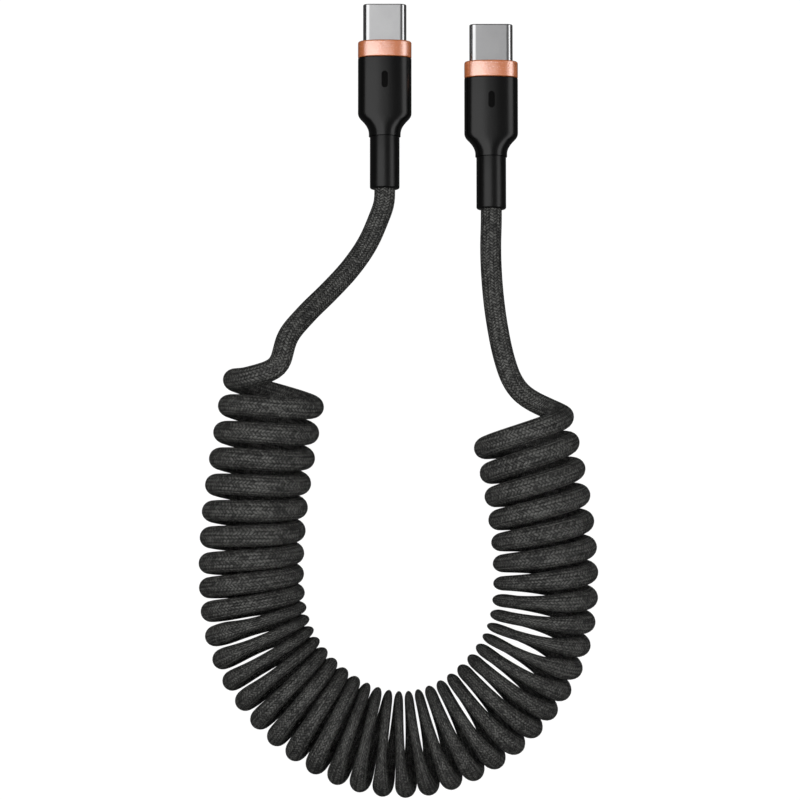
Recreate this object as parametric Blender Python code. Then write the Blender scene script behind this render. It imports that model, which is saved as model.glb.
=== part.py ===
"""A coiled USB-C cable, lying on a level floor.

Two straight plugs point along +Y. Their cord leaves them towards -Y and is
wound into one long curly coil, which lies bent in a U. Metres, +Z up. The
origin is on the floor, in the middle of the box around the two plugs.
"""

import math

import bmesh
import bpy
from mathutils import Vector

# Metal shell of a plug, with the sizes of the USB Type-C standard
SHELL_WIDTH = 0.00825
SHELL_THICKNESS = 0.0024
SHELL_WALL = 0.0003
SHELL_REACH = 0.0072
SHELL_ROOT = 0.0050
SHELL_LIP = 0.00012

# Moulded insulator inside the shell, with the slot for the tongue of the socket
INSULATOR_SETBACK = 0.0002
SLOT_WIDTH = 0.0067
SLOT_HEIGHT = 0.0009
SLOT_DEPTH = 0.0054

# Spring contacts, one comb above the slot's middle and one below it
CONTACT_COUNT = 12
CONTACT_PITCH = 0.0005
CONTACT_WIDTH = 0.00025
CONTACT_THICKNESS = 0.00012
CONTACT_LENGTH = 0.0040
CONTACT_BRIDGE = 0.0003

# Metal trim ring around the root of the shell
RING_DEPTH = 0.0031
RING_EDGE = 0.0002

# Plastic housing: a squared oval at the ring, round at its neck. A squareness of 2 is a plain ellipse.
BODY_WIDTH = 0.0102
BODY_THICKNESS = 0.0062
BODY_SQUARENESS = 2.5
BODY_EDGE = 0.00012
HOUSING_STRAIGHT = 0.0106
SHOULDER_LENGTH = 0.0040
SHOULDER_TURN = 0.34
NECK_LENGTH = 0.0005
NECK_DIAMETER = 0.00605

# Flexible strain relief, a plain sleeve with a plug that sits in the neck
SLEEVE_DIAMETER = 0.00564
SLEEVE_LENGTH = 0.0100
SLEEVE_RIM = 0.0003
SPIGOT_DIAMETER = 0.0044
SPIGOT_LENGTH = 0.0026
CORD_SOCKET = 0.0020

# Cord and coil
CORD_DIAMETER = 0.0040
COIL_DIAMETER = 0.0196
COIL_OVERHANG = 0.0021

# Clearances: between the small pieces of a plug, inside its shell, and at the cord's ends
FIT_GAP = 0.0001
INNER_GAP = 0.00005
CORD_GAP = 0.0003

# The straight start of a tail past its sleeve, and the spacing of the points along a cord
TAIL_START = 0.0024
CORD_STEP = 0.0030

# Where the plugs lie: axis to axis, and how far plug A is ahead of plug B
PLUG_SPACING = 0.02025
PLUG_STAGGER = 0.00387

# Flat sides of the round pieces, and the steps along the curved ones
END_STEPS = 12
COIL_SIDES = 24
TAIL_BEVEL = 3
SHOULDER_STEPS = 10
CURVE_STEPS = 24
SHARP_ANGLE = math.radians(35)

HOUSING_LENGTH = HOUSING_STRAIGHT + SHOULDER_LENGTH + NECK_LENGTH
BACK_LENGTH = RING_DEPTH + HOUSING_LENGTH + SLEEVE_LENGTH
PLUG_LENGTH = SHELL_REACH + BACK_LENGTH
AXIS_HEIGHT = BODY_THICKNESS / 2
COIL_RADIUS = COIL_DIAMETER / 2
TURN_RADIUS = COIL_RADIUS - CORD_DIAMETER / 2

# Seat plane of each plug, at the front of its trim ring
SEAT_A = Vector((
    -PLUG_SPACING / 2,
    (PLUG_LENGTH + PLUG_STAGGER) / 2 - SHELL_REACH,
    AXIS_HEIGHT,
))
SEAT_B = Vector((
    PLUG_SPACING / 2,
    (PLUG_LENGTH - PLUG_STAGGER) / 2 - SHELL_REACH,
    AXIS_HEIGHT,
))

# The coil's axis on the floor plan, from the end near plug A to the end near plug B
COIL_ROUTE = [
    (-0.0307, -0.0539),
    (-0.0328, -0.0661),
    (-0.0344, -0.0779),
    (-0.0349, -0.0890),
    (-0.0339, -0.0984),
    (-0.0305, -0.1062),
    (-0.0247, -0.1129),
    (-0.0173, -0.1179),
    (-0.0094, -0.1202),
    (-0.0016, -0.1197),
    (0.0062, -0.1163),
    (0.0129, -0.1104),
    (0.0176, -0.1031),
    (0.0197, -0.0946),
    (0.0197, -0.0843),
    (0.0182, -0.0730),
    (0.01565, -0.06125),
]

# The bare cord between each sleeve and the coil, as free points on its way
TAIL_A_ROUTE = [
    (-0.0112, -0.0212, 0.0032),
    (-0.0130, -0.0256, 0.0041),
    (-0.0162, -0.0308, 0.0066),
    (-0.0205, -0.0360, 0.0101),
    (-0.0250, -0.0409, 0.0134),
    (-0.0283, -0.0456, 0.0160),
]
TAIL_B_ROUTE = [
    (0.0100, -0.0262, 0.0028),
    (0.0103, -0.0338, 0.0022),
    (0.0112, -0.0414, 0.0021),
    (0.0127, -0.0485, 0.0021),
]


def clear_scene():
    for old in list(bpy.data.objects):
        bpy.data.objects.remove(old, do_unlink=True)


def finish_material(name, colour, roughness, metallic):
    material = bpy.data.materials.new(name)
    material.use_nodes = True
    shader = material.node_tree.nodes["Principled BSDF"]
    shader.inputs["Base Color"].default_value = (*colour, 1.0)
    shader.inputs["Roughness"].default_value = roughness
    shader.inputs["Metallic"].default_value = metallic
    return material


def add_object(name, mesh_builder, material, location=(0, 0, 0)):
    """Turns a finished bmesh into a smooth-shaded object with crisp edges."""
    bmesh.ops.remove_doubles(mesh_builder, verts=mesh_builder.verts, dist=1e-7)
    bmesh.ops.recalc_face_normals(mesh_builder, faces=mesh_builder.faces)
    mesh = bpy.data.meshes.new(name)
    mesh_builder.to_mesh(mesh)
    mesh_builder.free()
    mesh.shade_smooth()
    mesh.set_sharp_from_angle(angle=SHARP_ANGLE)
    mesh.materials.append(material)
    piece = bpy.data.objects.new(name, mesh)
    piece.location = location
    bpy.context.scene.collection.objects.link(piece)
    return piece


def stadium(y, width, thickness):
    """Two half circles joined by flats, across the plug's axis."""
    radius = thickness / 2
    flat = (width - thickness) / 2
    points = []
    for side, start in ((1, -90), (-1, 90)):
        for step in range(END_STEPS + 1):
            angle = math.radians(start + 180 * step / END_STEPS)
            points.append((
                side * flat + radius * math.cos(angle),
                y,
                radius * math.sin(angle),
            ))
    return points


def oval(y, width, thickness, squareness=2.0):
    """A squared ellipse, flat where it rests, with as many corners as a stadium."""
    corners = 2 * (END_STEPS + 1)
    half_step = math.pi / corners
    power = 2 / squareness
    height = thickness / 2 / math.cos(half_step) ** power
    points = []
    for corner in range(corners):
        angle = (2 * corner + 1) * half_step - math.pi / 2
        across, up = math.cos(angle), math.sin(angle)
        points.append((
            width / 2 * math.copysign(abs(across) ** power, across),
            y,
            height * math.copysign(abs(up) ** power, up),
        ))
    return points


def body_oval(y, inset=0.0):
    """The section that the trim ring and the housing share, drawn in by an eased edge."""
    return oval(y, BODY_WIDTH - 2 * inset, BODY_THICKNESS - 2 * inset, BODY_SQUARENESS)


def disc(y, diameter):
    return oval(y, diameter, diameter)


def loft(sections, ring=False):
    """Skins a run of sections. A ring closes on its first section, anything else gets two end caps."""
    bm = bmesh.new()
    loops = [[bm.verts.new(point) for point in section] for section in sections]
    spans = list(zip(loops, loops[1:]))
    if ring:
        spans.append((loops[-1], loops[0]))
    else:
        bm.faces.new(loops[0])
        bm.faces.new(reversed(loops[-1]))
    for first, second in spans:
        count = len(first)
        for i in range(count):
            j = (i + 1) % count
            bm.faces.new((first[i], first[j], second[j], second[i]))
    return bm


def build_shell(name, seat, material):
    """Drawn metal tube, open at the front, with a small rounded lip."""
    inner_width = SHELL_WIDTH - 2 * SHELL_WALL
    inner_thickness = SHELL_THICKNESS - 2 * SHELL_WALL
    lip_width = SHELL_WIDTH - 2 * SHELL_LIP
    lip_thickness = SHELL_THICKNESS - 2 * SHELL_LIP
    sections = [
        stadium(-SHELL_ROOT, inner_width, inner_thickness),
        stadium(-SHELL_ROOT, SHELL_WIDTH, SHELL_THICKNESS),
        stadium(SHELL_REACH - SHELL_LIP, SHELL_WIDTH, SHELL_THICKNESS),
        stadium(SHELL_REACH, lip_width, lip_thickness),
        stadium(SHELL_REACH, inner_width, inner_thickness),
    ]
    return add_object(name, loft(sections, ring=True), material, seat)


def insulator_front():
    return SHELL_REACH - INSULATOR_SETBACK


def build_insulator(name, seat, material):
    """Plastic core of the shell, with one blind slot from the front."""
    width = SHELL_WIDTH - 2 * SHELL_WALL - 2 * INNER_GAP
    thickness = SHELL_THICKNESS - 2 * SHELL_WALL - 2 * INNER_GAP
    front = insulator_front()
    sections = [
        stadium(-SHELL_ROOT, width, thickness),
        stadium(front, width, thickness),
        stadium(front, SLOT_WIDTH, SLOT_HEIGHT),
        stadium(front - SLOT_DEPTH, SLOT_WIDTH, SLOT_HEIGHT),
    ]
    return add_object(name, loft(sections), material, seat)


def comb_outline():
    """Fingers towards +Y on one bridge at the back, as a flat outline."""
    back = insulator_front() - SLOT_DEPTH + INNER_GAP
    root = back + CONTACT_BRIDGE
    tip = root + CONTACT_LENGTH
    first = -CONTACT_PITCH * (CONTACT_COUNT - 1) / 2
    half = CONTACT_WIDTH / 2
    points = [(first - half, back)]
    for i in range(CONTACT_COUNT):
        middle = first + CONTACT_PITCH * i
        if i > 0:
            points.append((middle - half, root))
        points.append((middle - half, tip))
        points.append((middle + half, tip))
        if i < CONTACT_COUNT - 1:
            points.append((middle + half, root))
    points.append((-first + half, back))
    return points


def build_contacts(name, seat, side, material):
    """One row of spring contacts, lying on the slot's upper or lower wall."""
    outer = SLOT_HEIGHT / 2 - INNER_GAP
    low, high = sorted((side * outer, side * (outer - CONTACT_THICKNESS)))
    bm = bmesh.new()
    outline = comb_outline()
    floor = [bm.verts.new((x, y, low)) for x, y in outline]
    roof = [bm.verts.new((x, y, high)) for x, y in outline]
    bm.faces.new(floor)
    bm.faces.new(reversed(roof))
    for i, corner in enumerate(floor):
        j = (i + 1) % len(floor)
        bm.faces.new((corner, floor[j], roof[j], roof[i]))
    return add_object(name, bm, material, seat)


def opening_size():
    """The hole that the shell passes through, in the ring and in the housing."""
    return SHELL_WIDTH + 2 * FIT_GAP, SHELL_THICKNESS + 2 * FIT_GAP


def build_trim_ring(name, seat, material):
    """Metal collar with eased edges, around the root of the shell."""
    hole = opening_size()
    sections = [
        stadium(0, *hole),
        body_oval(0, RING_EDGE),
        body_oval(-RING_EDGE),
        body_oval(RING_EDGE - RING_DEPTH),
        body_oval(-RING_DEPTH, RING_EDGE),
        stadium(-RING_DEPTH, *hole),
    ]
    return add_object(name, loft(sections, ring=True), material, seat)


def shoulder_fall(share):
    """How much of the way from body to neck is done: a short bulge that turns into a long hollow."""
    if share < SHOULDER_TURN:
        return share ** 2 / SHOULDER_TURN
    return 1 - (1 - share) ** 2 / (1 - SHOULDER_TURN)


def shoulder_sections(start):
    """From the squared body to the round neck."""
    sections = []
    for step in range(SHOULDER_STEPS + 1):
        share = step / SHOULDER_STEPS
        fall = shoulder_fall(share)
        width = BODY_WIDTH + (NECK_DIAMETER - BODY_WIDTH) * fall
        thickness = BODY_THICKNESS + (NECK_DIAMETER - BODY_THICKNESS) * fall
        squareness = BODY_SQUARENESS + (2 - BODY_SQUARENESS) * fall
        sections.append(oval(start - SHOULDER_LENGTH * share, width, thickness, squareness))
    return sections


def build_housing(name, seat, material):
    """One moulding with a pocket for the shell in front and one for the sleeve behind."""
    front = -RING_DEPTH - FIT_GAP
    back = -RING_DEPTH - HOUSING_LENGTH
    pocket = SPIGOT_DIAMETER + 2 * FIT_GAP
    hole = opening_size()
    sections = [
        disc(back + SPIGOT_LENGTH + FIT_GAP, pocket),
        disc(back, pocket),
        disc(back, NECK_DIAMETER),
    ]
    sections += reversed(shoulder_sections(-RING_DEPTH - HOUSING_STRAIGHT))
    sections += [
        body_oval(front - BODY_EDGE),
        body_oval(front, BODY_EDGE),
        stadium(front, *hole),
        stadium(-SHELL_ROOT - FIT_GAP, *hole),
    ]
    return add_object(name, loft(sections), material, seat)


def build_strain_relief(name, seat, material):
    """Sleeve with a rounded rim, a spigot for the housing and a socket for the cord."""
    front = -RING_DEPTH - HOUSING_LENGTH - FIT_GAP
    end = -BACK_LENGTH
    socket = CORD_DIAMETER + 2 * FIT_GAP
    sections = [
        disc(front + SPIGOT_LENGTH, SPIGOT_DIAMETER),
        disc(front, SPIGOT_DIAMETER),
        disc(front, SLEEVE_DIAMETER),
        disc(end + SLEEVE_RIM, SLEEVE_DIAMETER),
        disc(end, SLEEVE_DIAMETER - 2 * SLEEVE_RIM),
        disc(end, socket),
        disc(end + CORD_SOCKET, socket),
    ]
    return add_object(name, loft(sections), material, seat)


def build_plug(letter, seat, finishes):
    base = f"plug_{letter}_"
    build_shell(base + "shell", seat, finishes["shell"])
    build_insulator(base + "insulator", seat, finishes["insulator"])
    build_contacts(base + "contacts_upper", seat, 1, finishes["contacts"])
    build_contacts(base + "contacts_lower", seat, -1, finishes["contacts"])
    build_trim_ring(base + "trim_ring", seat, finishes["trim"])
    build_housing(base + "housing", seat, finishes["housing"])
    build_strain_relief(base + "strain_relief", seat, finishes["sleeve"])


def smooth_path(route, spacing):
    """Evenly spaced points on a Catmull-Rom curve through the route's points."""
    points = [Vector(point) for point in route]
    points = [2 * points[0] - points[1], *points, 2 * points[-1] - points[-2]]
    dense = []
    for p0, p1, p2, p3 in zip(points, points[1:], points[2:], points[3:]):
        for step in range(CURVE_STEPS):
            t = step / CURVE_STEPS
            dense.append(0.5 * (
                2 * p1
                + (p2 - p0) * t
                + (2 * p0 - 5 * p1 + 4 * p2 - p3) * t ** 2
                + (3 * p1 - p0 - 3 * p2 + p3) * t ** 3
            ))
    dense.append(points[-2])
    lengths = [0.0]
    for first, second in zip(dense, dense[1:]):
        lengths.append(lengths[-1] + (second - first).length)
    count = max(2, round(lengths[-1] / spacing))
    even = []
    place = 0
    for step in range(count + 1):
        wanted = lengths[-1] * step / count
        while place < len(dense) - 2 and lengths[place + 1] < wanted:
            place += 1
        share = (wanted - lengths[place]) / (lengths[place + 1] - lengths[place])
        even.append(dense[place].lerp(dense[place + 1], min(1.0, share)))
    return even


def coil_axis():
    """The coil's axis at its own height, a little longer than the turns at both ends."""
    points = [Vector((x, y, COIL_RADIUS)) for x, y in COIL_ROUTE]
    start = (points[0] - points[1]).normalized()
    end = (points[-1] - points[-2]).normalized()
    points[0] += start * COIL_OVERHANG
    points[-1] += end * COIL_OVERHANG
    return smooth_path(points, CORD_STEP)


def build_coil(name, axis, material):
    """The coil's outer shape: one round tube along the U, with a flat side on the floor."""
    outer = COIL_RADIUS / math.cos(math.pi / COIL_SIDES)
    up = Vector((0, 0, 1))
    sections = []
    for i, middle in enumerate(axis):
        before = axis[max(0, i - 1)]
        after = axis[min(len(axis) - 1, i + 1)]
        across = (after - before).normalized().cross(up)
        section = []
        for side in range(COIL_SIDES):
            angle = 2 * math.pi * (side + 0.5) / COIL_SIDES
            offset = across * math.cos(angle) + up * math.sin(angle)
            section.append(middle + offset * outer)
        sections.append(section)
    return add_object(name, loft(sections), material)


def build_tail(name, points, material):
    """Bare cord as a bevelled curve with filled ends."""
    curve = bpy.data.curves.new(name, "CURVE")
    curve.dimensions = "3D"
    curve.bevel_depth = CORD_DIAMETER / 2
    curve.bevel_resolution = TAIL_BEVEL
    curve.use_fill_caps = True
    spline = curve.splines.new("POLY")
    spline.points.add(len(points) - 1)
    for target, point in zip(spline.points, points):
        target.co = (*point, 1.0)
    spline.use_smooth = True
    curve.materials.append(material)
    piece = bpy.data.objects.new(name, curve)
    bpy.context.scene.collection.objects.link(piece)
    return piece


def socket_points(seat):
    """The first stretch of a tail, straight out of its sleeve."""
    sleeve_end = seat - Vector((0, BACK_LENGTH, 0))
    inside = sleeve_end + Vector((0, CORD_SOCKET - CORD_GAP, 0))
    outside = sleeve_end - Vector((0, TAIL_START, 0))
    return [inside, outside]


def coil_meeting_points(end, inward, height):
    """The last stretch of a tail, square to the coil's end face and just clear of it."""
    face = end + Vector((0, 0, height - end.z))
    last = face - inward * CORD_GAP
    return [last - inward * CORD_DIAMETER, last]


def build_cord(finishes):
    axis = coil_axis()
    build_coil("cord_coil", axis, finishes["cord"])

    inward_a = (axis[1] - axis[0]).normalized()
    inward_b = (axis[-2] - axis[-1]).normalized()
    top = COIL_RADIUS + TURN_RADIUS
    bottom = CORD_DIAMETER / 2 + CORD_GAP
    meet_a = coil_meeting_points(axis[0], inward_a, top)
    meet_b = coil_meeting_points(axis[-1], inward_b, bottom)

    tail_a = socket_points(SEAT_A) + [Vector(point) for point in TAIL_A_ROUTE] + meet_a
    tail_b = socket_points(SEAT_B) + [Vector(point) for point in TAIL_B_ROUTE] + meet_b
    build_tail("cord_tail_a", smooth_path(tail_a, CORD_STEP), finishes["cord"])
    build_tail("cord_tail_b", smooth_path(tail_b, CORD_STEP), finishes["cord"])


def main():
    clear_scene()
    finishes = {
        "shell": finish_material("polished_steel", (0.75, 0.75, 0.76), 0.12, 1.0),
        "insulator": finish_material("black_insulator", (0.02, 0.02, 0.02), 0.5, 0.0),
        "contacts": finish_material("gold_contacts", (0.85, 0.62, 0.25), 0.25, 1.0),
        "trim": finish_material("rose_gold_trim", (0.72, 0.42, 0.31), 0.4, 1.0),
        "housing": finish_material("satin_black", (0.015, 0.015, 0.016), 0.35, 0.0),
        "sleeve": finish_material("black_sleeve", (0.018, 0.018, 0.019), 0.45, 0.0),
        "cord": finish_material("black_braid", (0.025, 0.025, 0.027), 0.7, 0.0),
    }
    build_plug("a", SEAT_A, finishes)
    build_plug("b", SEAT_B, finishes)
    build_cord(finishes)


main()
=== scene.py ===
import math

import bmesh
import bpy
import numpy as np
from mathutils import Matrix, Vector


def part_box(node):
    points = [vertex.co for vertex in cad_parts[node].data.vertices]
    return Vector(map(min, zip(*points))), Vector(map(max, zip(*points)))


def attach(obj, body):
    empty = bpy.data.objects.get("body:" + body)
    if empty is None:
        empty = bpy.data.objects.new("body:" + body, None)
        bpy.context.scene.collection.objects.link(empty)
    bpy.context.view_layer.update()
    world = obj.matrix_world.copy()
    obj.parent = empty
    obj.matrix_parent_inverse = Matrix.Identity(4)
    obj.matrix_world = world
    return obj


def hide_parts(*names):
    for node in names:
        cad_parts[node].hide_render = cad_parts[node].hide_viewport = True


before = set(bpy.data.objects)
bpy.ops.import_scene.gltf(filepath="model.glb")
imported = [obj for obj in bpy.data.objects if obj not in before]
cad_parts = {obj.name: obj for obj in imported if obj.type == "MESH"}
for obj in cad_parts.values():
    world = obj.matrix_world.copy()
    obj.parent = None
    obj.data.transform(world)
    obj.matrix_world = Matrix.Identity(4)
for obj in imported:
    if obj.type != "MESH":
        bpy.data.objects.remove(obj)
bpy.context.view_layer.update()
print("frame loaded,", len(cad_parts), "solids")


# Camera, almost straight above the cable

cameraPlace = {
    "lookAt": (-0.00722, -0.05592, 0.0031),
    "distance": 0.55,
    "elevation": 86.5,   # degrees above the floor, leaning towards the coil's bend
    "lens": 130.79,
    "sensor": 36.0,
}


def placeCamera(place):
    tilt = math.radians(place["elevation"])
    aim = Vector(place["lookAt"])
    lens = bpy.data.cameras.new("photoCamera")
    lens.lens = place["lens"]
    lens.sensor_width = place["sensor"]
    lens.clip_start = 0.01
    camera = bpy.data.objects.new("photoCamera", lens)
    camera.location = aim + place["distance"] * Vector((0, -math.cos(tilt), math.sin(tilt)))
    camera.rotation_euler = (aim - camera.location).to_track_quat("-Z", "Y").to_euler()
    bpy.context.scene.collection.objects.link(camera)
    bpy.context.scene.camera = camera


placeCamera(cameraPlace)


# Node helpers, shared by all the finishes

def newMaterial(name, roughness, metallic=0.0, specular=0.5, ior=1.5):
    material = bpy.data.materials.new(name)
    material.use_nodes = True
    shader = material.node_tree.nodes["Principled BSDF"]
    shader.inputs["Roughness"].default_value = roughness
    shader.inputs["Metallic"].default_value = metallic
    shader.inputs["Specular IOR Level"].default_value = specular
    shader.inputs["IOR"].default_value = ior
    return material, material.node_tree, shader


def feed(tree, target, value):
    if isinstance(value, bpy.types.NodeSocket):
        tree.links.new(value, target)
    else:
        target.default_value = value


def calc(tree, operation, *values):
    node = tree.nodes.new("ShaderNodeMath")
    node.operation = operation
    for target, value in zip(node.inputs, values):
        feed(tree, target, value)
    return node.outputs[0]


def spread(tree, value, low, high, start=0.0, end=1.0):
    node = tree.nodes.new("ShaderNodeMapRange")
    node.inputs["From Min"].default_value = start
    node.inputs["From Max"].default_value = end
    node.inputs["To Min"].default_value = low
    node.inputs["To Max"].default_value = high
    feed(tree, node.inputs["Value"], value)
    return node.outputs["Result"]


def tint(tree, amount, first, second):
    node = tree.nodes.new("ShaderNodeValToRGB")
    node.color_ramp.elements[0].color = (*first, 1.0)
    node.color_ramp.elements[1].color = (*second, 1.0)
    feed(tree, node.inputs["Fac"], amount)
    return node.outputs["Color"]


def bump(tree, shader, height, distance):
    node = tree.nodes.new("ShaderNodeBump")
    node.inputs["Distance"].default_value = distance
    feed(tree, node.inputs["Height"], height)
    tree.links.new(node.outputs["Normal"], shader.inputs["Normal"])


def grain(tree, coordinates, size, detail=2.0, stretch=(1, 1, 1)):
    mapping = tree.nodes.new("ShaderNodeMapping")
    mapping.inputs["Scale"].default_value = [s / size for s in stretch]
    node = tree.nodes.new("ShaderNodeTexNoise")
    node.inputs["Scale"].default_value = 1.0
    node.inputs["Detail"].default_value = detail
    tree.links.new(coordinates, mapping.inputs["Vector"])
    tree.links.new(mapping.outputs["Vector"], node.inputs["Vector"])
    return node.outputs["Fac"]


def objectPlace(tree):
    return tree.nodes.new("ShaderNodeTexCoord").outputs["Object"]


# Mesh helpers

def showPiece(name, mesh, material, nodes, location=(0, 0, 0)):
    mesh.materials.append(material)
    piece = bpy.data.objects.new(name, mesh)
    piece.location = location
    bpy.context.scene.collection.objects.link(piece)
    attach(piece, "root")
    if nodes:
        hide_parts(*nodes)
    return piece


sectionSteps = 32   # corners in each half of a section, the same for all, so that they join


# Two half rounds and two flats, with a point near each end of a flat that keeps it looking flat
def stadium(y, width, thickness):
    radius = thickness / 2
    flat = (width - thickness) / 2
    nearEnd = 0.96 * flat
    turn = np.radians(np.linspace(-90, 90, sectionSteps - 2))
    across = np.concatenate([[nearEnd], flat + radius * np.cos(turn), [nearEnd]])
    up = radius * np.concatenate([[-1], np.sin(turn), [1]])
    across, up = np.concatenate([across, -across]), np.concatenate([up, -up])
    return np.stack([across, np.full(2 * sectionSteps, y), up], axis=1)


# A squared ellipse with as many corners as a stadium; a squareness of 2 is a plain one
def oval(y, width, thickness, squareness=2.0):
    halfStep = math.pi / (2 * sectionSteps)
    turn = (2 * np.arange(2 * sectionSteps) + 1) * halfStep - math.pi / 2
    power = 2 / squareness
    across = width / 2 * np.sign(np.cos(turn)) * np.abs(np.cos(turn)) ** power
    height = thickness / 2 / math.cos(halfStep) ** power
    up = height * np.sign(np.sin(turn)) * np.abs(np.sin(turn)) ** power
    return np.stack([across, np.full(2 * sectionSteps, y), up], axis=1)


def disc(y, diameter):
    return oval(y, diameter, diameter)


# A skin over a row of sections, closed by end faces or into a ring, with edges above an angle sharp
def loft(name, sections, ring=False, sharp=40):
    bm = bmesh.new()
    loops = [[bm.verts.new(point) for point in section] for section in sections]
    spans = list(zip(loops, loops[1:]))
    if ring:
        spans.append((loops[-1], loops[0]))
    else:
        bm.faces.new(loops[0])
        bm.faces.new(reversed(loops[-1]))
    for first, second in spans:
        for i in range(len(first)):
            j = (i + 1) % len(first)
            bm.faces.new((first[i], first[j], second[j], second[i]))
    bmesh.ops.remove_doubles(bm, verts=bm.verts, dist=1e-7)
    bmesh.ops.recalc_face_normals(bm, faces=bm.faces)
    mesh = bpy.data.meshes.new(name)
    bm.to_mesh(mesh)
    bm.free()
    mesh.shade_smooth()
    mesh.set_sharp_from_angle(angle=math.radians(sharp))
    return mesh


# A quarter round: (share along, share inwards), from the flank to the end face
def quarterRound(steps):
    return [(math.sin(a), 1 - math.cos(a)) for a in np.linspace(0, math.pi / 2, steps)]


# The cord: tail A, forty turns in a U, tail B, all one piece

cordFacts = {
    "diameter": 0.0040,
    "turnsPerPoint": 2.5,     # turns from one point of the coil's route to the next
    "turnRadius": 0.0078,     # from the coil's axis to the middle of the cord
    "axisHeight": 0.0098,
    "lean": (-0.02, -0.062),  # how far a turn lies to one side, per height above the axis
    "restPitch": 0.0043,      # one turn along the coil before it was bent
    "pitchBlend": 0.0002,     # softens the change from round to pressed cord
    "pressPower": 4.2,        # how fast the cord narrows as its turns crowd each other
    "pressCorner": 4,         # how sharply the narrowing stops
    # where it stops, from turn to turn: this share of the width, times the crowding squared
    "pressFloor": (
        (0, 1.7), (19.5, 1.7), (21.5, 2.0), (24, 1.7), (31.5, 1.5), (33.5, 1.05), (40, 0.95),
    ),
    "ringsPerTurn": 56,
    "sides": 24,
    "straightOut": (0.0017, -0.0004, -0.0024),   # a tail's first points, from inside its sleeve
    "sharedPoints": 9,        # points of the coil that a tail's own curve runs through
    "sharedPerTurn": 20,
    "joinTurns": 0.30,        # how far a tail's own round section fades into the coil's
    "tailStep": 0.0008,
    "tailPasses": 4,          # how often a tail's bends are evened out
    "heldStart": 3,           # steps at the start that stay as they are
    "heldEnd": 16,            # steps at the end over which the evening fades
    "bakeStrips": 13,
    "bakeEdge": (0.005, 0.03),   # bare share of a strip at its ends and sides
}

# The coil's axis on the floor, from the end near plug A to the end near plug B
coilRoute = [
    (-0.0307, -0.0539), (-0.0328, -0.0661), (-0.0344, -0.0779), (-0.0349, -0.0890),
    (-0.0339, -0.0984), (-0.0305, -0.1062), (-0.0247, -0.1129), (-0.0173, -0.1179),
    (-0.0094, -0.1202), (-0.0016, -0.1197), (0.0062, -0.1163), (0.0129, -0.1104),
    (0.0176, -0.1031), (0.0197, -0.0946), (0.0197, -0.0843), (0.0182, -0.0730),
    (0.01565, -0.06125),
]

# Tail A climbs onto the coil, and turns into its first turn from above
tailRouteA = [
    (-0.0112, -0.0212, 0.0032),
    (-0.0130, -0.0256, 0.0041),
    (-0.0162, -0.0308, 0.0066),
    (-0.0205, -0.0360, 0.0101),
    (-0.0250, -0.0409, 0.0134),
    (-0.0283, -0.0456, 0.0160),
    (-0.02885, -0.0480, 0.0168),
    (-0.0295, -0.0503, 0.0173),
    (-0.0310, -0.0514, 0.0176),
    (-0.0333, -0.0521, 0.0174),
]
joinA = -0.12

# Tail B rises from the floor into the last turn from below
tailRouteB = [
    (0.0100, -0.0262, 0.0028),
    (0.0103, -0.0338, 0.0022),
    (0.0112, -0.0414, 0.0021),
    (0.0127, -0.0485, 0.0021),
    (0.0138, -0.0517, 0.0020),
    (0.0156, -0.0544, 0.0020),
    (0.0180, -0.0561, 0.0020),
    (0.0207, -0.0574, 0.0022),
    (0.0228, -0.0585, 0.0040),
]
joinB = 40.0


# Middle of the coil at each turn, on the floor plan, and the way out of the U there
def coilAxis(turn):
    points = np.array(coilRoute)
    width = cordFacts["turnsPerPoint"]
    knots = np.arange(len(points)) * width
    slopes = np.gradient(points, knots, axis=0)
    inside = np.clip(turn, knots[0], knots[-1])
    span = np.clip((inside / width).astype(int), 0, len(points) - 2)
    t = ((inside - knots[span]) / width)[:, None]
    place = (
        (2 * t**3 - 3 * t**2 + 1) * points[span] + (t**3 - 2 * t**2 + t) * width * slopes[span]
        + (3 * t**2 - 2 * t**3) * points[span + 1] + (t**3 - t**2) * width * slopes[span + 1]
    )
    along = (
        (6 * t**2 - 6 * t) / width * points[span] + (3 * t**2 - 4 * t + 1) * slopes[span]
        + (6 * t - 6 * t**2) / width * points[span + 1] + (3 * t**2 - 2 * t) * slopes[span + 1]
    )
    place = place + along * (turn - inside)[:, None]
    along = along / np.linalg.norm(along, axis=1)[:, None]
    outward = np.stack([along[:, 1], -along[:, 0]], axis=1)
    return place, outward


# How far apart two turns lie at a distance outwards from the axis
def pitchAt(turn, out):
    reach = 0.05   # of a turn, either way
    before, beforeOutward = coilAxis(turn - reach)
    after, afterOutward = coilAxis(turn + reach)
    step = after - before + out[:, None] * (afterOutward - beforeOutward)
    return np.linalg.norm(step, axis=1) / (2 * reach)


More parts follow.
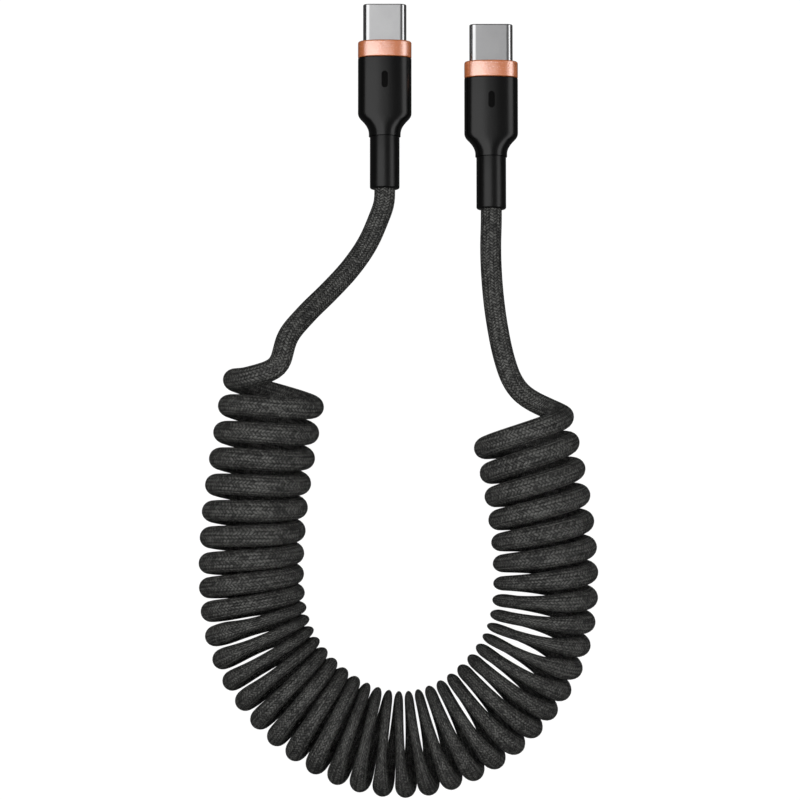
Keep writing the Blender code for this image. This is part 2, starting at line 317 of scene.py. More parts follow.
# A point of the bent coil: reach from the cord's middle, at an angle around the cord.
# The cord is round where its turns have room, and drawn narrow where the bend crowds them.
def coilPoint(turn, aroundCord, reach):
    rest = cordFacts["restPitch"]
    lead = math.atan(rest / (2 * math.pi * cordFacts["turnRadius"]))
    angle = 2 * math.pi * turn
    radial = cordFacts["turnRadius"] + reach * np.cos(aroundCord)
    sideways = -reach * np.sin(aroundCord) * math.sin(lead)
    out = radial * np.cos(angle) - sideways * np.sin(angle)
    up = -radial * np.sin(angle) - sideways * np.cos(angle)
    room = pitchAt(turn, out)
    wider = (rest + room + np.sqrt((room - rest) ** 2 + cordFacts["pitchBlend"] ** 2)) / 2
    crowding = pitchAt(turn, np.full_like(out, -cordFacts["turnRadius"])) / rest
    least = np.interp(turn, *np.transpose(cordFacts["pressFloor"])) * crowding**2
    corner = cordFacts["pressCorner"]
    share = (room / wider) ** cordFacts["pressPower"]
    share = ((share**corner + least**corner) / (1 + least**corner)) ** (1 / corner)
    ahead = share * reach * np.sin(aroundCord) * math.cos(lead) / room
    place, outward = coilAxis(turn + ahead)
    flat = place + out[:, None] * outward + up[:, None] * np.array(cordFacts["lean"])
    return np.column_stack([flat, cordFacts["axisHeight"] + up])


# Rounds a chain of points into one curve, and says which place in the chain each new point has
def smoothRoute(points, step):
    points = np.array(points, float)
    gaps = np.linalg.norm(np.diff(points, axis=0), axis=1)
    knots = np.concatenate([[0], np.cumsum(gaps)])
    slopes = np.diff(points, axis=0) / gaps[:, None]
    weight = (gaps[1:] / (gaps[1:] + gaps[:-1]))[:, None]
    middle = slopes[:-1] * weight + slopes[1:] * (1 - weight)
    tangents = np.vstack([slopes[:1], middle, slopes[-1:]])
    at = np.linspace(0, knots[-1], round(knots[-1] / step) + 1)
    span = np.clip(np.searchsorted(knots, at, side="right") - 1, 0, len(gaps) - 1)
    width = gaps[span][:, None]
    t = ((at - knots[span]) / gaps[span])[:, None]
    curve = (
        (2 * t**3 - 3 * t**2 + 1) * points[span] + (t**3 - 2 * t**2 + t) * width * tangents[span]
        + (3 * t**2 - 2 * t**3) * points[span + 1] + (t**3 - t**2) * width * tangents[span + 1]
    )
    return curve, span + t[:, 0]


# Evens out the bends of a tail, but not its straight start or the end that lies in the coil
def softened(curve):
    fade = np.clip(np.arange(len(curve))[::-1] / cordFacts["heldEnd"], 0, 1)[:, None]
    fade[:cordFacts["heldStart"]] = 0
    for _ in range(cordFacts["tailPasses"]):
        middle = (curve[:-2] + curve[2:]) / 2
        curve[1:-1] += 0.5 * fade[1:-1] * (middle - curve[1:-1])
    return curve


# The middle of a sleeve's end, where the cord comes out
def sleeveEnd(letter):
    low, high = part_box(f"plug_{letter}_strain_relief")
    return Vector(((low.x + high.x) / 2, low.y, (low.z + high.z) / 2))


# One tail from inside its sleeve to well inside the coil, with the turn that each point belongs to
def tailPath(letter, route, join, inward):
    exitPoint = sleeveEnd(letter)
    perTurn = cordFacts["sharedPerTurn"]
    turns = join + inward * np.arange(cordFacts["sharedPoints"]) / perTurn
    coilPart = coilPoint(turns, np.zeros(len(turns)), 0.0)
    start = [exitPoint + Vector((0, y, 0)) for y in cordFacts["straightOut"]]
    chain = [tuple(p) for p in start] + list(route) + [tuple(p) for p in coilPart]
    curve, place = smoothRoute(chain, cordFacts["tailStep"])
    curve = softened(curve)
    firstCoil = len(start) + len(route)
    turn = join + inward * (place - firstCoil) / perTurn
    return curve, turn, place >= firstCoil


# Carries a sideways direction along a curve without twisting it
def transported(curve, firstSide):
    ahead = np.gradient(curve, axis=0)
    ahead /= np.linalg.norm(ahead, axis=1)[:, None]
    sides = [firstSide]
    for direction in ahead:
        side = sides[-1] - direction * np.dot(sides[-1], direction)
        sides.append(side / np.linalg.norm(side))
    return np.array(sides[1:]), ahead


# A tail's rings from the coil outwards, faded from the coil's section to a round one
def tailRings(letter, route, join, inward, around):
    radius = cordFacts["diameter"] / 2
    curve, turn, inCoil = tailPath(letter, route, join, inward)
    curve, turn, inCoil = curve[::-1], turn[::-1], inCoil[::-1]
    angle = 2 * math.pi * turn[0]
    outward = coilAxis(turn[:1])[1][0]
    firstSide = np.array([*(math.cos(angle) * outward), -math.sin(angle)])
    sides, ahead = transported(curve, firstSide)
    across = np.cross(sides, -inward * ahead)
    rings = []
    for i, middle in enumerate(curve):
        own = (
            middle
            + radius * np.cos(around)[:, None] * sides[i]
            + radius * np.sin(around)[:, None] * across[i]
        )
        if inCoil[i]:
            coils = coilPoint(np.full(len(around), turn[i]), around, radius)
            share = np.clip(abs(turn[i] - join) / cordFacts["joinTurns"], 0, 1)
            share = share * share * (3 - 2 * share)
            own = own * (1 - share) + coils * share
        rings.append(own)
    return rings, turn[0]


# All rings of the cord in order: tail A, the coil, tail B
def buildCordRings():
    sides = cordFacts["sides"]
    around = 2 * math.pi * np.arange(sides) / sides
    radius = cordFacts["diameter"] / 2
    ringsA, firstTurn = tailRings("a", tailRouteA, joinA, 1, around)
    ringsB, lastTurn = tailRings("b", tailRouteB, joinB, -1, around)
    count = round((lastTurn - firstTurn) * cordFacts["ringsPerTurn"])
    turns = np.linspace(firstTurn, lastTurn, count + 1)[1:-1]
    coil = coilPoint(np.repeat(turns, sides), np.tile(around, len(turns)), radius)
    coil = coil.reshape(len(turns), sides, 3)
    return np.concatenate([np.array(ringsA[::-1]), coil, np.array(ringsB)])


def buildCordMesh(rings):
    count, sides = len(rings), cordFacts["sides"]
    path = rings.mean(axis=1)
    along = np.concatenate([[0], np.cumsum(np.linalg.norm(np.diff(path, axis=0), axis=1))])
    ring, side = np.meshgrid(np.arange(count - 1), np.arange(sides), indexing="ij")
    ring, side = ring.ravel(), side.ravel()
    nextSide = (side + 1) % sides
    quads = np.stack([
        ring * sides + side, (ring + 1) * sides + side,
        (ring + 1) * sides + nextSide, ring * sides + nextSide,
    ], axis=1)
    startCap = list(range(sides))
    endCap = list(range((count - 1) * sides, count * sides))[::-1]
    mesh = bpy.data.meshes.new("braidedCord")
    mesh.from_pydata(rings.reshape(-1, 3).tolist(), [], quads.tolist() + [startCap, endCap])
    mesh.shade_smooth()

    # metres along the cord and the share of the way around it, for the braid
    cornerRing = np.stack([ring, ring + 1, ring + 1, ring], axis=1).ravel()
    cornerSide = np.stack([side, side, side + 1, side + 1], axis=1).ravel()
    caps = np.zeros((2 * sides, 2))
    braid = np.column_stack([along[cornerRing], cornerSide / sides])
    mesh.uv_layers.new(name="braidUv").data.foreach_set(
        "uv", np.vstack([braid, caps]).astype(np.float32).ravel())

    # the same skin cut into strips side by side, so that it fills a square
    strips = cordFacts["bakeStrips"]
    endEdge, sideEdge = cordFacts["bakeEdge"]
    perStrip = math.ceil((count - 1) / strips)
    strip = np.repeat(ring // perStrip, 4)
    flat = np.column_stack([
        endEdge + (1 - 2 * endEdge) * (cornerRing - strip * perStrip) / perStrip,
        (strip + sideEdge + (1 - 2 * sideEdge) * cornerSide / sides) / strips,
    ])
    mesh.uv_layers.new(name="OFBake").data.foreach_set(
        "uv", np.vstack([flat, caps]).astype(np.float32).ravel())
    return mesh, path, along[-1]


braidFacts = {
    "ribsAround": 16,            # columns of stitches around the cord, an even number
    "stitchLength": 0.00060,
    # The yarns' colour runs from the valley colour to the crown colour with their height: painted shade
    # down between the yarns, painted light on the crowns.
    "shadedValley": (0.0010, 0.0010, 0.0010),
    "crown": (0.092, 0.092, 0.087),
    "roughness": (0.70, 0.28),   # in the valleys, on the crowns
    "specular": 0.6,
    "relief": 0.00018,
    # girth and arch shape the relief and also the painted shade: a yarn is painted darker towards its
    # sides and towards the ends of its float.
    "girth": (0.8, 0.2),         # how much a yarn falls off to its sides, and what is left there
    "arch": (0.85, 0.15),        # the same towards the ends of its float
    "filaments": 7,
    "wander": 0.5,               # how far the stitches stray from their rows, in stitches
    "patch": 0.0011,
    "lineWidth": 0.00032,
    "lineLength": 0.0035,
    "fuzz": 0.0007,
    # how dark and how light each of these makes a spot, and its share of the relief
    "threadShade": (0.6, 1.4), "threadRelief": 0.2,
    "dyeShade": (0.4, 1.6),
    "fuzzShade": (0.6, 1.4), "fuzzRelief": 0.6,
    "lineShade": (0.3, 1.7), "lineRelief": 0.8,
    "noiseReach": (0.3, 0.7),    # where soft noise has its darks and lights
    "lineReach": (0.32, 0.68),
}


# Two by two braid of twisted yarns, with the filaments of each yarn, painted shade between the yarns
# and painted light on their crowns
def makeBraid():
    facts = braidFacts
    material, tree, shader = newMaterial("charcoalBraid", facts["roughness"][1],
                                         specular=facts["specular"])
    uv = tree.nodes.new("ShaderNodeUVMap")
    uv.uv_map = "braidUv"
    parts = tree.nodes.new("ShaderNodeSeparateXYZ")
    tree.links.new(uv.outputs["UV"], parts.inputs["Vector"])
    around = calc(tree, "MULTIPLY", parts.outputs["Y"], facts["ribsAround"])

    # noise on the skin, which closes on itself around the cord
    def skinNoise(width, length, detail):
        turn = calc(tree, "MULTIPLY", parts.outputs["Y"], 2 * math.pi)
        radius = cordFacts["diameter"] / 2 / width
        place = tree.nodes.new("ShaderNodeCombineXYZ")
        tree.links.new(calc(tree, "MULTIPLY", calc(tree, "COSINE", turn), radius), place.inputs["X"])
        tree.links.new(calc(tree, "MULTIPLY", calc(tree, "SINE", turn), radius), place.inputs["Y"])
        tree.links.new(calc(tree, "DIVIDE", parts.outputs["X"], length), place.inputs["Z"])
        noise = tree.nodes.new("ShaderNodeTexNoise")
        noise.inputs["Scale"].default_value = 1.0
        noise.inputs["Detail"].default_value = detail
        tree.links.new(place.outputs["Vector"], noise.inputs["Vector"])
        return noise.outputs["Fac"]

    patches = skinNoise(facts["patch"], facts["patch"], 1.0)
    lines = skinNoise(facts["lineWidth"], facts["lineLength"], 2.0)
    stray = calc(tree, "MULTIPLY", calc(tree, "SUBTRACT", patches, 0.5), 2 * facts["wander"])
    along = calc(tree, "MULTIPLY_ADD", parts.outputs["X"], 1 / facts["stitchLength"], stray)

    # which yarn of each hand is here, and how far across it
    right = calc(tree, "ADD", along, around)
    left = calc(tree, "SUBTRACT", along, around)
    rightYarn = calc(tree, "FLOOR", right)
    leftYarn = calc(tree, "FLOOR", left)
    rightAcross = calc(tree, "SUBTRACT", calc(tree, "SUBTRACT", right, rightYarn), 0.5)
    leftAcross = calc(tree, "SUBTRACT", calc(tree, "SUBTRACT", left, leftYarn), 0.5)
    order = calc(tree, "FLOORED_MODULO", calc(tree, "SUBTRACT", rightYarn, leftYarn), 4.0)
    rightOnTop = calc(tree, "LESS_THAN", order, 1.5)

    # each yarn floats over two others: 0 to 2 along the float
    rightStart = calc(tree, "ADD", calc(tree, "SUBTRACT", rightYarn, left), 1.0)
    leftStart = calc(tree, "SUBTRACT", calc(tree, "SUBTRACT", right, leftYarn), 2.0)
    rightFloat = calc(tree, "FLOORED_MODULO", rightStart, 4.0)
    leftFloat = calc(tree, "FLOORED_MODULO", leftStart, 4.0)

    def onTop(first, second):
        node = tree.nodes.new("ShaderNodeMix")
        tree.links.new(rightOnTop, node.inputs["Factor"])
        tree.links.new(second, node.inputs[2])
        tree.links.new(first, node.inputs[3])
        return node.outputs[0]

    across = onTop(rightAcross, leftAcross)
    onward = onTop(rightFloat, leftFloat)
    yarn = onTop(rightYarn, calc(tree, "ADD", leftYarn, 0.37))
    crown = calc(tree, "SINE", calc(tree, "MULTIPLY", onward, math.pi / 2))
    crown = calc(tree, "MAXIMUM", crown, 0.0)
    edge = calc(tree, "ABSOLUTE", calc(tree, "MULTIPLY", across, 2.0))
    girth = calc(tree, "SUBTRACT", 1.0, calc(tree, "POWER", edge, 2.0))
    girth = calc(tree, "MULTIPLY_ADD", girth, *facts["girth"])
    height = calc(tree, "MULTIPLY", girth, calc(tree, "MULTIPLY_ADD", crown, *facts["arch"]))

    # fine threads along each yarn, and an uneven dye from yarn to yarn
    threadPlace = tree.nodes.new("ShaderNodeCombineXYZ")
    tree.links.new(calc(tree, "MULTIPLY", across, facts["filaments"]), threadPlace.inputs["X"])
    tree.links.new(calc(tree, "MULTIPLY", onward, 0.5), threadPlace.inputs["Y"])
    tree.links.new(calc(tree, "MULTIPLY", yarn, 3.7), threadPlace.inputs["Z"])
    threads = tree.nodes.new("ShaderNodeTexNoise")
    threads.inputs["Scale"].default_value = 1.0
    threads.inputs["Detail"].default_value = 1.5
    tree.links.new(threadPlace.outputs["Vector"], threads.inputs["Vector"])
    dye = tree.nodes.new("ShaderNodeTexWhiteNoise")
    dye.noise_dimensions = "1D"
    tree.links.new(yarn, dye.inputs["W"])
    fuzz = grain(tree, objectPlace(tree), facts["fuzz"], 3.0)

    # Painted light and shade: the colour starts from each yarn's height, dark in the valleys and light
    # on the crowns, and the thread, dye, fuzz and line noises then vary it at random.
    light = height
    for value, shade, reach in (
        (threads.outputs["Fac"], "threadShade", facts["noiseReach"]),
        (dye.outputs["Value"], "dyeShade", (0.0, 1.0)),
        (fuzz, "fuzzShade", facts["noiseReach"]),
        (lines, "lineShade", facts["lineReach"]),
    ):
        light = calc(tree, "MULTIPLY", light, spread(tree, value, *facts[shade], *reach))
    tree.links.new(tint(tree, light, facts["shadedValley"], facts["crown"]), shader.inputs["Base Color"])
    tree.links.new(spread(tree, light, *facts["roughness"]), shader.inputs["Roughness"])
    relief = calc(tree, "MULTIPLY_ADD", threads.outputs["Fac"], facts["threadRelief"], height)
    relief = calc(tree, "MULTIPLY_ADD", lines, facts["lineRelief"], relief)
    relief = calc(tree, "MULTIPLY_ADD", fuzz, facts["fuzzRelief"], relief)
    bump(tree, shader, relief, facts["relief"])
    return material


cordRings = buildCordRings()
cordMesh, cordPath, cordLength = buildCordMesh(cordRings)
cord = showPiece("braided_cord", cordMesh, makeBraid(),
                 ["cord_tail_a", "cord_coil", "cord_tail_b"])
print(f"cord laid, {cordLength:.3f} m, {len(cordRings)} rings")


# The plugs. A plug's own frame: y 0 at the front of its trim ring, y forward, z up.

plugSizes = {
    "shellWidth": 0.00825, "shellThickness": 0.0024, "shellWall": 0.0003,
    "shellReach": 0.0072, "shellRoot": 0.0050, "shellLip": 0.00022,
    "insulatorSetback": 0.0002, "slotWidth": 0.0067, "slotHeight": 0.0009, "slotDepth": 0.0054,
    "insulatorEase": 0.00008, "innerGap": 0.00005, "fitGap": 0.0001,
    "seam": 0.00003,
    "ringDepth": 0.0031, "ringFrontEdge": 0.00032, "ringBackEdge": 0.00018,
    "bodyWidth": 0.0102, "bodyThickness": 0.0062, "bodySquareness": 2.5, "bodyEdge": 0.00012,
    "housingStraight": 0.0106, "shoulderLength": 0.0040, "shoulderTurn": 0.34,
    "neckLength": 0.0005, "neckDiameter": 0.00605, "neckEdge": 0.00005,
    "sleeveDiameter": 0.00564, "sleeveLength": 0.0100, "sleeveRim": 0.0004, "smallEdge": 0.0001,
    "spigotDiameter": 0.0044, "spigotLength": 0.0026, "socketDepth": 0.0020, "socketDiameter": 0.0042,
}


# The middle of the trim ring's front face, read from the frame
def plugSeat(letter):
    low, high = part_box(f"plug_{letter}_trim_ring")
    return Vector(((low.x + high.x) / 2, high.y, (low.z + high.z) / 2))


# A drawn tube whose front lip is rolled over
def shellMesh(s):
    innerWidth = s["shellWidth"] - 2 * s["shellWall"]
    innerThickness = s["shellThickness"] - 2 * s["shellWall"]
    lip, bead = s["shellLip"], s["shellWall"] - s["shellLip"]
    sections = [stadium(-s["shellRoot"], innerWidth, innerThickness),
                stadium(-s["shellRoot"], s["shellWidth"], s["shellThickness"])]
    for along, inwards in quarterRound(7):
        sections.append(stadium(s["shellReach"] - lip * (1 - along),
                                s["shellWidth"] - 2 * lip * inwards,
                                s["shellThickness"] - 2 * lip * inwards))
    for along, inwards in quarterRound(4)[1:]:
        sections.append(stadium(s["shellReach"] - bead * inwards,
                                innerWidth + 2 * bead * (1 - along),
                                innerThickness + 2 * bead * (1 - along)))
    return loft("plugShell", sections, ring=True)


def insulatorMesh(s):
    width = s["shellWidth"] - 2 * s["shellWall"] - 2 * s["innerGap"]
    thickness = s["shellThickness"] - 2 * s["shellWall"] - 2 * s["innerGap"]
    front = s["shellReach"] - s["insulatorSetback"]
    ease = s["insulatorEase"]
    sections = [
        stadium(-s["shellRoot"], width, thickness),
        stadium(front - ease, width, thickness),
        stadium(front, width - 2 * ease, thickness - 2 * ease),
        stadium(front, s["slotWidth"] + 2 * ease, s["slotHeight"] + 2 * ease),
        stadium(front - 2 * ease, s["slotWidth"], s["slotHeight"]),
        stadium(front - s["slotDepth"], s["slotWidth"], s["slotHeight"]),
    ]
    return loft("plugInsulator", sections)


contactFacts = {
    "count": 12, "pitch": 0.0005, "width": 0.00025, "thickness": 0.00012, "length": 0.0043,
    "bow": 0.00014, "bowPlace": 0.72, "bowSpread": 0.14, "stations": 15,
}


# Twelve spring fingers on one wall of the slot, each bowed towards the tongue near its tip
def contactsMesh(s, side):
    f = contactFacts
    back = s["shellReach"] - s["insulatorSetback"] - s["slotDepth"] + s["innerGap"]
    outer = s["slotHeight"] / 2 - s["innerGap"]
    vertices, faces = [], []
    stations = np.linspace(0, 1, f["stations"])
    lift = f["bow"] * np.exp(-((stations - f["bowPlace"]) / f["bowSpread"]) ** 2)
    for i in range(f["count"]):
        middle = f["pitch"] * (i - (f["count"] - 1) / 2)
        base = len(vertices)
        for share, rise in zip(stations, lift):
            y = back + f["length"] * share
            high, low = outer - rise, outer - rise - f["thickness"]
            for x, z in ((-1, low), (1, low), (1, high), (-1, high)):
                vertices.append((middle + x * f["width"] / 2, y, side * z))
        for j in range(len(stations) - 1):
            for k in range(4):
                a, b = base + 4 * j + k, base + 4 * j + (k + 1) % 4
                faces.append((a, b, b + 4, a + 4))
        last = base + 4 * (len(stations) - 1)
        faces += [(base + 3, base + 2, base + 1, base), (last, last + 1, last + 2, last + 3)]
    mesh = bpy.data.meshes.new("plugContacts")
    mesh.from_pydata(vertices, [], faces)
    bm = bmesh.new()
    bm.from_mesh(mesh)
    bmesh.ops.recalc_face_normals(bm, faces=bm.faces)
    bm.to_mesh(mesh)
    bm.free()
    return mesh


def openingSize(s):
    return s["shellWidth"] + 2 * s["fitGap"], s["shellThickness"] + 2 * s["fitGap"]


# The section that the trim ring and the housing share, drawn in by an eased edge
def bodyOval(s, y, inset=0.0):
    return oval(y, s["bodyWidth"] - 2 * inset, s["bodyThickness"] - 2 * inset, s["bodySquareness"])


def ringMesh(s):
    hole = openingSize(s)
    front, back = s["ringFrontEdge"], s["ringBackEdge"]
    sections = [stadium(0, *hole)]
    for along, inwards in reversed(quarterRound(8)):
        sections.append(bodyOval(s, front * (along - 1), front * inwards))
    for along, inwards in quarterRound(6):
        sections.append(bodyOval(s, -s["ringDepth"] + back * (1 - along), back * inwards))
    sections.append(stadium(-s["ringDepth"], *hole))
    return loft("plugTrimRing", sections, ring=True, sharp=60)


# From the squared body to the round neck: a short bulge that turns into a long hollow
def shoulderSections(s, start, steps=22):
    turn = s["shoulderTurn"]
    sections = []
    for share in np.linspace(0, 1, steps):
        fall = share**2 / turn if share < turn else 1 - (1 - share) ** 2 / (1 - turn)
        width = s["bodyWidth"] + (s["neckDiameter"] - s["bodyWidth"]) * fall
        thickness = s["bodyThickness"] + (s["neckDiameter"] - s["bodyThickness"]) * fall
        squareness = s["bodySquareness"] + (2 - s["bodySquareness"]) * fall
        sections.append(oval(start - s["shoulderLength"] * share, width, thickness, squareness))
    return sections


def housingMesh(s):
    hole = openingSize(s)
    front = -s["ringDepth"] - s["fitGap"]
    back = -s["ringDepth"] - s["housingStraight"] - s["shoulderLength"] - s["neckLength"]
    pocket = s["spigotDiameter"] + 2 * s["fitGap"]
    edge, neckEdge = s["bodyEdge"], s["neckEdge"]
    sections = [stadium(-s["shellRoot"] - s["fitGap"], *hole), stadium(front, *hole)]
    for along, inwards in reversed(quarterRound(5)):
        sections.append(bodyOval(s, front - edge * (1 - along), edge * inwards))
    sections += shoulderSections(s, -s["ringDepth"] - s["housingStraight"])
    for along, inwards in quarterRound(4):
        sections.append(disc(back + neckEdge * (1 - along), s["neckDiameter"] - 2 * neckEdge * inwards))
    sections += [disc(back, pocket), disc(back + s["spigotLength"] + s["fitGap"], pocket)]
    return loft("plugHousing", sections)


def sleeveMesh(s):
    neckEnd = -s["ringDepth"] - s["housingStraight"] - s["shoulderLength"] - s["neckLength"]
    front, end = neckEnd - s["seam"], neckEnd - s["sleeveLength"]
    rim, wide, socket, small = s["sleeveRim"], s["sleeveDiameter"], s["socketDiameter"], s["smallEdge"]
    sections = [disc(front + s["spigotLength"], s["spigotDiameter"]), disc(front, s["spigotDiameter"])]
    for along, inwards in reversed(quarterRound(4)):
        sections.append(disc(front - small / 2 * (1 - along), wide - small * inwards))
    for along, inwards in quarterRound(8):
        sections.append(disc(end + rim * (1 - along), wide - 2 * rim * inwards))
    for along, inwards in reversed(quarterRound(4)):
        sections.append(disc(end + small * (1 - along), socket + 2 * small * inwards))
    sections.append(disc(end + s["socketDepth"], socket))
    return loft("plugSleeve", sections)


inlayFacts = {
    "width": 0.0012, "length": 0.0032, "behindRing": 0.0045, "proud": 0.00001, "sunk": 0.00006,
    "corners": 48,
}


# A plain pill-shaped inlay in the top of the housing, which follows the housing's curve
def inlayMesh(s):
    f = inlayFacts
    radius = f["width"] / 2
    middle = -s["ringDepth"] - f["behindRing"]

    def onHousing(share, across, up):
        out = abs(2 * across / s["bodyWidth"])
        fall = (1 - out ** s["bodySquareness"]) ** (1 / s["bodySquareness"])
        return (across, middle + share, s["bodyThickness"] / 2 * fall + up)

    outline = []
    for turn in np.radians((np.arange(f["corners"]) + 0.5) * 360 / f["corners"]):
        end = math.copysign(f["length"] / 2 - radius, math.sin(turn))
        outline.append((end + radius * math.sin(turn), radius * math.cos(turn)))
    sections = []
    top = f["proud"]
    for shrink, up in ((1.0, -f["sunk"]), (1.0, 0.0), (0.96, top), (0.5, top), (0.02, top)):
        sections.append([onHousing(y * shrink, x * shrink, up) for y, x in outline])
    return loft("plugInlay", sections)


# Colours and roughnesses of the plugs' finishes go from the darks of their grain to its lights

def paint(tree, shader, look, colourGrain, glossGrain, reach=(0.0, 1.0)):
    colour = tint(tree, colourGrain, look["dark"], look["light"])
    tree.links.new(colour, shader.inputs["Base Color"])
    gloss = spread(tree, glossGrain, *look["roughness"], *reach)
    tree.links.new(gloss, shader.inputs["Roughness"])


steelLook = {
    "dark": (0.66, 0.66, 0.67), "light": (0.76, 0.76, 0.765), "roughness": (0.11, 0.19),
    "lines": 0.00006, "lineStretch": (1, 0.03, 1), "clouds": 0.0025, "relief": 0.0000008,
}


def makeSteel():
    look = steelLook
    material, tree, shader = newMaterial("polishedSteel", 0.14, metallic=1.0)
    place = objectPlace(tree)
    lines = grain(tree, place, look["lines"], 2.0, look["lineStretch"])
    clouds = grain(tree, place, look["clouds"], 3.0)
    paint(tree, shader, look, clouds, lines)
    bump(tree, shader, lines, look["relief"])
    return material


coreLook = {
    "dark": (0.008, 0.008, 0.009), "light": (0.022, 0.022, 0.023), "roughness": (0.42, 0.6),
    "specks": 0.00012, "relief": 0.000004,
}


def makeInsulatorPlastic():
    material, tree, shader = newMaterial("blackCore", 0.5)
    specks = grain(tree, objectPlace(tree), coreLook["specks"], 3.0)
    paint(tree, shader, coreLook, specks, specks)
    bump(tree, shader, specks, coreLook["relief"])
    return material


goldLook = {
    "dark": (0.80, 0.55, 0.20), "light": (0.93, 0.70, 0.33), "roughness": (0.18, 0.34),
    "wipes": 0.0003, "wipeStretch": (1, 0.3, 1), "relief": 0.000003,
}


def makeGold():
    material, tree, shader = newMaterial("goldPlate", 0.25, metallic=1.0)
    wipes = grain(tree, objectPlace(tree), goldLook["wipes"], 3.0, goldLook["wipeStretch"])
    paint(tree, shader, goldLook, wipes, wipes)
    bump(tree, shader, wipes, goldLook["relief"])
    return material


# Blasted metal under a clear orange dye: a deep colour with a pale gloss on top
roseGoldLook = {
    "dark": (0.84, 0.21, 0.045), "light": (1.0, 0.28, 0.075), "roughness": (0.28, 0.18),
    "beads": 0.00030, "fine": 0.00010, "fineShare": 0.35, "stretch": (0.6, 1.3, 1),
    "reach": (0.35, 0.65), "relief": 0.00005,
}


def makeRoseGold():
    look = roseGoldLook
    material, tree, shader = newMaterial("roseGoldBlasted", 0.2, metallic=0.1, specular=1.0, ior=3.0)
    place = objectPlace(tree)
    beads = grain(tree, place, look["beads"], 2.0, look["stretch"])
    fine = grain(tree, place, look["fine"], 1.0, look["stretch"])
    beads = calc(tree, "MULTIPLY", beads, 1 - look["fineShare"])
    both = calc(tree, "ADD", beads, calc(tree, "MULTIPLY", fine, look["fineShare"]))
    spots = spread(tree, both, 0.0, 1.0, *look["reach"])
    paint(tree, shader, look, spots, spots)
    bump(tree, shader, both, look["relief"])
    return material


blackLook = {
    "dark": (0.0010, 0.0010, 0.0010), "light": (0.0020, 0.0020, 0.0020), "clouds": 0.004,
    "reach": (0.3, 0.7),
}
housingLook = {**blackLook, "roughness": (0.21, 0.27), "fine": 0.00012, "relief": 0.000001}
sleeveLook = {**blackLook, "roughness": (0.28, 0.34), "fine": 0.00010, "relief": 0.000002}


def makeBlackMoulding(name, look):
    material, tree, shader = newMaterial(name, look["roughness"][0])
    place = objectPlace(tree)
    fine = grain(tree, place, look["fine"], 3.0)
    clouds = grain(tree, place, look["clouds"], 3.0)
    mixed = calc(tree, "MULTIPLY_ADD", fine, 0.5, calc(tree, "MULTIPLY", clouds, 0.5))
    paint(tree, shader, look, clouds, mixed, look["reach"])
    bump(tree, shader, fine, look["relief"])
    return material


inlayLook = {
    "dark": (0.0012, 0.0012, 0.0012), "light": (0.0030, 0.0030, 0.0030), "roughness": (0.5, 0.7),
    "specks": 0.00008,
}


def makeInlayBlack():
    material, tree, shader = newMaterial("inlayBlack", 0.6, specular=0.08)
    specks = grain(tree, objectPlace(tree), inlayLook["specks"], 2.0)
    paint(tree, shader, inlayLook, specks, specks)
    return material


def dressPlug(letter, finishes):
    seat = plugSeat(letter)
    base = f"plug_{letter}_"
    built = (
        ("drawn_shell", "shell", "shell", shellMesh(plugSizes)),
        ("core", "insulator", "insulator", insulatorMesh(plugSizes)),
        ("upper_springs", "contacts_upper", "contacts", contactsMesh(plugSizes, 1)),
        ("lower_springs", "contacts_lower", "contacts", contactsMesh(plugSizes, -1)),
        ("collar", "trim_ring", "trim", ringMesh(plugSizes)),
        ("moulding", "housing", "housing", housingMesh(plugSizes)),
        ("sleeve", "strain_relief", "strain_relief", sleeveMesh(plugSizes)),
    )
    for name, node, slotName, mesh in built:
        showPiece(base + name, mesh, finishes[slotName], [base + node], seat)
    showPiece(base + "inlay", inlayMesh(plugSizes), finishes["inlay"], [], seat)


finishes = {
    "shell": makeSteel(),
    "insulator": makeInsulatorPlastic(),
    "contacts": makeGold(),
    "trim": makeRoseGold(),
    "housing": makeBlackMoulding("satinBlack", housingLook),
    "strain_relief": makeBlackMoulding("sleeveBlack", sleeveLook),
    "inlay": makeInlayBlack(),
}
for letter in "ab":
    dressPlug(letter, finishes)
print("plugs dressed")


# Floor, backdrop and soft studio light

studio = {
    "floorSize": 3.0,
    "floorGlow": 0.985,
    "floorShade": 0.06,
    "domeSize": 1.4,
    "glowAbove": 0.05,
    "glowBelow": 0.06,
    "glowChange": (-0.35, 0.0),   # heights between which one turns into the other
    "centre": (-0.007, -0.05, 0.0),
    "distance": 0.9,
    "softboxes": (   # name, from and to in degrees from the vertical, length, brightness
        ("leftSoftbox", -58, -8, 1.1, 1.28),
        ("leftFeather", -8, -4, 1.1, 1.05),
        ("topFill", -4, 0, 1.1, 0.72),
        ("topFeather", 0, 4, 1.1, 0.51),
        ("rightShade", 4, 12, 1.1, 0.20),
        ("rightGap", 12, 40, 1.1, 0.09),
        ("rightFeather", 41, 47, 1.1, 0.30),
        ("rightStrip", 47, 73, 1.1, 1.45),
    ),
    "fill": {"size": 0.3, "brightness": 17},   # matt light only, it shows in no reflection
}


# An even white glow, over a matt surface that is a little lit as well
def glowMaterial(name, strength, shade):
    material = bpy.data.materials.new(name)
    material.use_nodes = True
    tree = material.node_tree
    shader = tree.nodes["Principled BSDF"]
    shader.inputs["Base Color"].default_value = (shade, shade, shade, 1)
    shader.inputs["Roughness"].default_value = 1.0
    shader.inputs["Specular IOR Level"].default_value = 0.0
    shader.inputs["Emission Color"].default_value = (1, 1, 1, 1)
    shader.inputs["Emission Strength"].default_value = strength
    return material


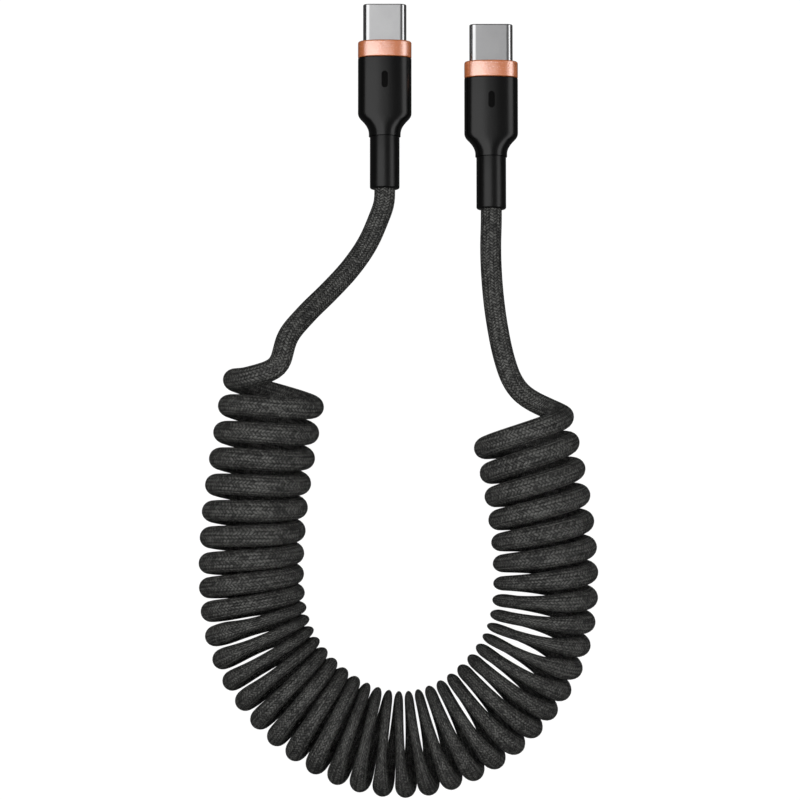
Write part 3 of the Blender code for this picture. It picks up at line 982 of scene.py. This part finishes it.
def setStage():
    bm = bmesh.new()
    bmesh.ops.create_grid(bm, x_segments=8, y_segments=8, size=studio["floorSize"] / 2)
    floorMesh = bpy.data.meshes.new("floor")
    bm.to_mesh(floorMesh)
    bm.free()
    floorMesh.materials.append(glowMaterial("paleFloor", studio["floorGlow"], studio["floorShade"]))
    floor = bpy.data.objects.new("floor", floorMesh)

    bm = bmesh.new()
    bmesh.ops.create_uvsphere(bm, u_segments=48, v_segments=24, radius=studio["domeSize"])
    domeMesh = bpy.data.meshes.new("backdrop")
    bm.to_mesh(domeMesh)
    bm.free()
    domeMesh.materials.append(glowMaterial("paleBackdrop", 1.0, 0.0))
    dome = bpy.data.objects.new("backdrop", domeMesh)

    for piece in (floor, dome):
        bpy.context.scene.collection.objects.link(piece)
        piece.visible_glossy = False
        piece.visible_diffuse = False
        piece.visible_shadow = False


def hangLights():
    middle = Vector(studio["centre"])
    distance = studio["distance"]
    for name, start, end, length, brightness in studio["softboxes"]:
        width = 2 * distance * math.tan(math.radians((end - start) / 2))
        light = bpy.data.lights.new(name, "AREA")
        light.shape = "RECTANGLE"
        light.size = width
        light.size_y = length
        light.energy = brightness * math.pi * width * length
        lamp = bpy.data.objects.new(name, light)
        lean = math.radians((start + end) / 2)
        lamp.location = middle + distance * Vector((math.sin(lean), 0, math.cos(lean)))
        lamp.rotation_euler = (0, lean, 0)
        lamp.visible_camera = False
        bpy.context.scene.collection.objects.link(lamp)

    size = studio["fill"]["size"]
    light = bpy.data.lights.new("mattFill", "AREA")
    light.size = size
    light.energy = studio["fill"]["brightness"] * math.pi * size * size
    lamp = bpy.data.objects.new("mattFill", light)
    lamp.location = middle + Vector((0, 0, distance))
    lamp.visible_camera = False
    lamp.visible_glossy = False
    bpy.context.scene.collection.objects.link(lamp)


# Almost dark above, and a little light thrown back by the floor below
def setRoom():
    world = bpy.data.worlds.new("room")
    world.use_nodes = True
    tree = world.node_tree
    parts = tree.nodes.new("ShaderNodeSeparateXYZ")
    tree.links.new(tree.nodes.new("ShaderNodeTexCoord").outputs["Generated"], parts.inputs["Vector"])
    glow = spread(tree, parts.outputs["Z"], studio["glowBelow"], studio["glowAbove"],
                  *studio["glowChange"])
    background = tree.nodes["Background"]
    background.inputs["Color"].default_value = (1, 1, 1, 1)
    tree.links.new(glow, background.inputs["Strength"])
    bpy.context.scene.world = world


setStage()
hangLights()
setRoom()
bpy.context.scene.view_settings.view_transform = "Standard"
print("stage and lights set")
